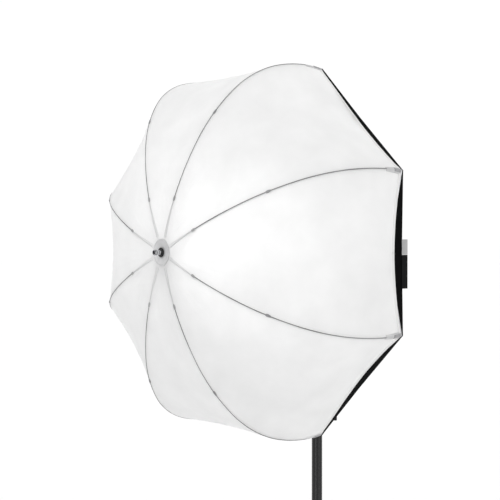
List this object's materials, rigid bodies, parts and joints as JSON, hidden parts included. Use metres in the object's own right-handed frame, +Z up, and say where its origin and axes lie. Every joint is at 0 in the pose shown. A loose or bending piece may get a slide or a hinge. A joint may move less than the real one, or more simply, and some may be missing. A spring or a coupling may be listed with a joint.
{
  "type": "umbrella softbox",
  "caption": "Folding octagonal umbrella softbox with a translucent dome, dark rear cover, shaft and runner, on a tilt bracket and upper stand column.",
  "frame": {"origin": "centre of the stand column's lower end", "axes": "+Z up along the column, -Y the way the dome faces, +X to the viewer's right when looking along +Y"},
  "size_m": [0.802, 0.5771, 1.101],
  "materials": {
    "canopy_cloth": "translucent white woven",
    "cover_cloth": "black woven, coated",
    "rib_grey": "satin grey",
    "steel": "drawn wire",
    "shaft_metal": "satin",
    "chrome": "polished",
    "moulded_black": "fine moulded grain",
    "patch_grey": "coarse woven",
    "bracket_black": "textured powder coat",
    "tube_black": "satin black anodised",
    "brass": "turned",
    "label_light": "blank woven tape",
    "label_dark": "blank woven tape"
  },
  "bodies": {
    "column": {"column_outer_tube": "tube_black", "column_collar": "moulded_black"},
    "lock_handle": {"column_lock_handle": "moulded_black"},
    "mast": {"column_inner_tube": "tube_black", "column_guide_bush": "moulded_black", "column_spigot": "brass"},
    "socket": {"bracket_socket": "bracket_black", "tilt_bolt": "steel"},
    "socket_knob": {"socket_lock_knob": "moulded_black"},
    "lever": {"tilt_lever": "moulded_black"},
    "head": {"bracket_head": "bracket_black", "lamp_stud": "brass"},
    "clamp_knob": {"shaft_clamp_knob": "moulded_black"},
    "shaft": {"shaft_tube": "shaft_metal", "shaft_end_cap": "moulded_black", "ferrule": "chrome", "rib_notch": "moulded_black", "rib_pivot_pins": "steel", "hub_patch": "patch_grey"},
    "runner": {"runner": "moulded_black"},
    "release_button": {"runner_release_button": "moulded_black"},
    "rib_1": {"rib_1": "rib_grey", "canopy_panel_1": "canopy_cloth"},
    "stretcher_1": {"stretcher_1": "steel"},
    "cover_1": {"rear_cover_panel_1": "cover_cloth"},
    "rib_2": {"rib_2": "rib_grey", "canopy_panel_2": "canopy_cloth"},
    "stretcher_2": {"stretcher_2": "steel"},
    "cover_2": {"rear_cover_panel_2": "cover_cloth"},
    "rib_3": {"rib_3": "rib_grey", "canopy_panel_3": "canopy_cloth"},
    "stretcher_3": {"stretcher_3": "steel"},
    "cover_3": {"rear_cover_panel_3": "cover_cloth"},
    "rib_4": {"rib_4": "rib_grey", "canopy_panel_4": "canopy_cloth"},
    "stretcher_4": {"stretcher_4": "steel"},
    "cover_4": {"rear_cover_panel_4": "cover_cloth"},
    "rib_5": {"rib_5": "rib_grey", "canopy_panel_5": "canopy_cloth"},
    "stretcher_5": {"stretcher_5": "steel"},
    "cover_5": {"rear_cover_panel_5": "cover_cloth"},
    "rib_6": {"rib_6": "rib_grey", "canopy_panel_6": "canopy_cloth"},
    "stretcher_6": {"stretcher_6": "steel"},
    "cover_6": {"rear_cover_panel_6": "cover_cloth"},
    "rib_7": {"rib_7": "rib_grey", "canopy_panel_7": "canopy_cloth"},
    "stretcher_7": {"stretcher_7": "steel"},
    "cover_7": {"rear_cover_panel_7": "cover_cloth"},
    "rib_8": {"rib_8": "rib_grey", "canopy_panel_8": "canopy_cloth"},
    "stretcher_8": {"stretcher_8": "steel"},
    "cover_8": {"rear_cover_panel_8": "cover_cloth", "upper_blank_label": "label_light", "lower_blank_label": "label_dark"}
  },
  "joints": [
    {"name": "column_slide", "type": "slide", "parent": "column", "child": "mast", "axis": [0, 0, 1], "range_m": [-0.08, 0.1]},
    {"name": "lock_handle_turn", "type": "hinge", "parent": "column", "child": "lock_handle", "pos_m": [0, 0, 0.308], "axis": [0.7071, 0.7071, 0], "range_deg": [0, 180]},
    {"name": "column_swivel", "type": "hinge", "parent": "mast", "child": "socket", "pos_m": [0, 0, 0.63], "axis": [0, 0, 1], "continuous": true},
    {"name": "socket_knob_turn", "type": "hinge", "parent": "socket", "child": "socket_knob", "pos_m": [0, 0.02, 0.626], "axis": [0, 1, 0], "range_deg": [0, 270]},
    {"name": "bracket_tilt", "type": "hinge", "parent": "socket", "child": "head", "pos_m": [0, 0, 0.67], "axis": [-1, 0, 0], "range_deg": [-10, 60]},
    {"name": "tilt_lever_turn", "type": "hinge", "parent": "socket", "child": "lever", "pos_m": [0.018, 0, 0.67], "axis": [1, 0, 0], "range_deg": [-45, 45]},
    {"name": "clamp_knob_turn", "type": "hinge", "parent": "head", "child": "clamp_knob", "pos_m": [-0.02, 0, 0.7], "axis": [-1, 0, 0], "range_deg": [0, 270]},
    {"name": "shaft_slide", "type": "slide", "parent": "head", "child": "shaft", "axis": [0, -1, 0], "range_m": [0, 0.07]},
    {"name": "canopy_fold", "type": "slide", "parent": "shaft", "child": "runner", "axis": [0, 1, 0], "range_m": [0, 0.1008]},
    {"name": "release_button_press", "type": "slide", "parent": "runner", "child": "release_button", "axis": [0, 0, -1], "range_m": [0, 0.002], "stiffness_N_per_m": 500, "springref_m": -0.001},
    {"name": "rib_1_pivot", "type": "hinge", "parent": "shaft", "child": "rib_1", "pos_m": [0.01651, -0.44269, 0.70684], "axis": [-0.3827, 0, 0.9239], "range_deg": [0, 42.08], "deforming": ["canopy_panel_1"]},
    {"name": "stretcher_1_pivot", "type": "hinge", "parent": "rib_1", "child": "stretcher_1", "pos_m": [0.11262, -0.4389, 0.74665], "axis": [-0.3827, 0, 0.9239], "range_deg": [-60.62, 0]},
    {"name": "cover_1_turn", "type": "hinge", "parent": "rib_1", "child": "cover_1", "pos_m": [0.39317, -0.14574, 0.86286], "axis": [-0.3827, 0, 0.9239], "range_deg": [0, 72.64], "deforming": ["rear_cover_panel_1"]},
    {"name": "rib_2_pivot", "type": "hinge", "parent": "shaft", "child": "rib_2", "pos_m": [0.00684, -0.44269, 0.71651], "axis": [-0.9239, 0, 0.3827], "range_deg": [0, 42.08], "deforming": ["canopy_panel_2"]},
    {"name": "stretcher_2_pivot", "type": "hinge", "parent": "rib_2", "child": "stretcher_2", "pos_m": [0.04665, -0.4389, 0.81262], "axis": [-0.9239, 0, 0.3827], "range_deg": [-60.62, 0]},
    {"name": "cover_2_turn", "type": "hinge", "parent": "rib_2", "child": "cover_2", "pos_m": [0.16285, -0.14574, 1.09317], "axis": [-0.9239, 0, 0.3827], "range_deg": [0, 72.64], "deforming": ["rear_cover_panel_2"]},
    {"name": "rib_3_pivot", "type": "hinge", "parent": "shaft", "child": "rib_3", "pos_m": [-0.00684, -0.44269, 0.71651], "axis": [-0.9239, 0, -0.3827], "range_deg": [0, 42.08], "deforming": ["canopy_panel_3"]},
    {"name": "stretcher_3_pivot", "type": "hinge", "parent": "rib_3", "child": "stretcher_3", "pos_m": [-0.04665, -0.4389, 0.81262], "axis": [-0.9239, 0, -0.3827], "range_deg": [-60.62, 0]},
    {"name": "cover_3_turn", "type": "hinge", "parent": "rib_3", "child": "cover_3", "pos_m": [-0.16285, -0.14574, 1.09317], "axis": [-0.9239, 0, -0.3827], "range_deg": [0, 72.64], "deforming": ["rear_cover_panel_3"]},
    {"name": "rib_4_pivot", "type": "hinge", "parent": "shaft", "child": "rib_4", "pos_m": [-0.01651, -0.44269, 0.70684], "axis": [-0.3827, 0, -0.9239], "range_deg": [0, 42.08], "deforming": ["canopy_panel_4"]},
    {"name": "stretcher_4_pivot", "type": "hinge", "parent": "rib_4", "child": "stretcher_4", "pos_m": [-0.11262, -0.4389, 0.74665], "axis": [-0.3827, 0, -0.9239], "range_deg": [-60.62, 0]},
    {"name": "cover_4_turn", "type": "hinge", "parent": "rib_4", "child": "cover_4", "pos_m": [-0.39317, -0.14574, 0.86286], "axis": [-0.3827, 0, -0.9239], "range_deg": [0, 72.64], "deforming": ["rear_cover_panel_4"]},
    {"name": "rib_5_pivot", "type": "hinge", "parent": "shaft", "child": "rib_5", "pos_m": [-0.01651, -0.44269, 0.69316], "axis": [0.3827, 0, -0.9239], "range_deg": [0, 42.08], "deforming": ["canopy_panel_5"]},
    {"name": "stretcher_5_pivot", "type": "hinge", "parent": "rib_5", "child": "stretcher_5", "pos_m": [-0.11262, -0.4389, 0.65335], "axis": [0.3827, 0, -0.9239], "range_deg": [-60.62, 0]},
    {"name": "cover_5_turn", "type": "hinge", "parent": "rib_5", "child": "cover_5", "pos_m": [-0.39317, -0.14574, 0.53714], "axis": [0.3827, 0, -0.9239], "range_deg": [0, 72.64], "deforming": ["rear_cover_panel_5"]},
    {"name": "rib_6_pivot", "type": "hinge", "parent": "shaft", "child": "rib_6", "pos_m": [-0.00684, -0.44269, 0.68349], "axis": [0.9239, 0, -0.3827], "range_deg": [0, 42.08], "deforming": ["canopy_panel_6"]},
    {"name": "stretcher_6_pivot", "type": "hinge", "parent": "rib_6", "child": "stretcher_6", "pos_m": [-0.04665, -0.4389, 0.58738], "axis": [0.9239, 0, -0.3827], "range_deg": [-60.62, 0]},
    {"name": "cover_6_turn", "type": "hinge", "parent": "rib_6", "child": "cover_6", "pos_m": [-0.16285, -0.14574, 0.30683], "axis": [0.9239, 0, -0.3827], "range_deg": [0, 72.64], "deforming": ["rear_cover_panel_6"]},
    {"name": "rib_7_pivot", "type": "hinge", "parent": "shaft", "child": "rib_7", "pos_m": [0.00684, -0.44269, 0.68349], "axis": [0.9239, 0, 0.3827], "range_deg": [0, 42.08], "deforming": ["canopy_panel_7"]},
    {"name": "stretcher_7_pivot", "type": "hinge", "parent": "rib_7", "child": "stretcher_7", "pos_m": [0.04665, -0.4389, 0.58738], "axis": [0.9239, 0, 0.3827], "range_deg": [-60.62, 0]},
    {"name": "cover_7_turn", "type": "hinge", "parent": "rib_7", "child": "cover_7", "pos_m": [0.16285, -0.14574, 0.30683], "axis": [0.9239, 0, 0.3827], "range_deg": [0, 72.64], "deforming": ["rear_cover_panel_7"]},
    {"name": "rib_8_pivot", "type": "hinge", "parent": "shaft", "child": "rib_8", "pos_m": [0.01651, -0.44269, 0.69316], "axis": [0.3827, 0, 0.9239], "range_deg": [0, 42.08], "deforming": ["canopy_panel_8"]},
    {"name": "stretcher_8_pivot", "type": "hinge", "parent": "rib_8", "child": "stretcher_8", "pos_m": [0.11262, -0.4389, 0.65335], "axis": [0.3827, 0, 0.9239], "range_deg": [-60.62, 0]},
    {"name": "cover_8_turn", "type": "hinge", "parent": "rib_8", "child": "cover_8", "pos_m": [0.39317, -0.14574, 0.53714], "axis": [0.3827, 0, 0.9239], "range_deg": [0, 72.64], "deforming": ["rear_cover_panel_8", "upper_blank_label", "lower_blank_label"]}
  ],
  "couplings": [
    {"joint": "rib_1_pivot", "follows": "canopy_fold", "rad_per_m": 7.2722},
    {"joint": "stretcher_1_pivot", "follows": "canopy_fold", "rad_per_m": -10.475},
    {"joint": "cover_1_turn", "follows": "canopy_fold", "rad_per_m": 12.553},
    {"joint": "rib_2_pivot", "follows": "canopy_fold", "rad_per_m": 7.2722},
    {"joint": "stretcher_2_pivot", "follows": "canopy_fold", "rad_per_m": -10.475},
    {"joint": "cover_2_turn", "follows": "canopy_fold", "rad_per_m": 12.553},
    {"joint": "rib_3_pivot", "follows": "canopy_fold", "rad_per_m": 7.2722},
    {"joint": "stretcher_3_pivot", "follows": "canopy_fold", "rad_per_m": -10.475},
    {"joint": "cover_3_turn", "follows": "canopy_fold", "rad_per_m": 12.553},
    {"joint": "rib_4_pivot", "follows": "canopy_fold", "rad_per_m": 7.2722},
    {"joint": "stretcher_4_pivot", "follows": "canopy_fold", "rad_per_m": -10.475},
    {"joint": "cover_4_turn", "follows": "canopy_fold", "rad_per_m": 12.553},
    {"joint": "rib_5_pivot", "follows": "canopy_fold", "rad_per_m": 7.2722},
    {"joint": "stretcher_5_pivot", "follows": "canopy_fold", "rad_per_m": -10.475},
    {"joint": "cover_5_turn", "follows": "canopy_fold", "rad_per_m": 12.553},
    {"joint": "rib_6_pivot", "follows": "canopy_fold", "rad_per_m": 7.2722},
    {"joint": "stretcher_6_pivot", "follows": "canopy_fold", "rad_per_m": -10.475},
    {"joint": "cover_6_turn", "follows": "canopy_fold", "rad_per_m": 12.553},
    {"joint": "rib_7_pivot", "follows": "canopy_fold", "rad_per_m": 7.2722},
    {"joint": "stretcher_7_pivot", "follows": "canopy_fold", "rad_per_m": -10.475},
    {"joint": "cover_7_turn", "follows": "canopy_fold", "rad_per_m": 12.553},
    {"joint": "rib_8_pivot", "follows": "canopy_fold", "rad_per_m": 7.2722},
    {"joint": "stretcher_8_pivot", "follows": "canopy_fold", "rad_per_m": -10.475},
    {"joint": "cover_8_turn", "follows": "canopy_fold", "rad_per_m": 12.553}
  ]
}
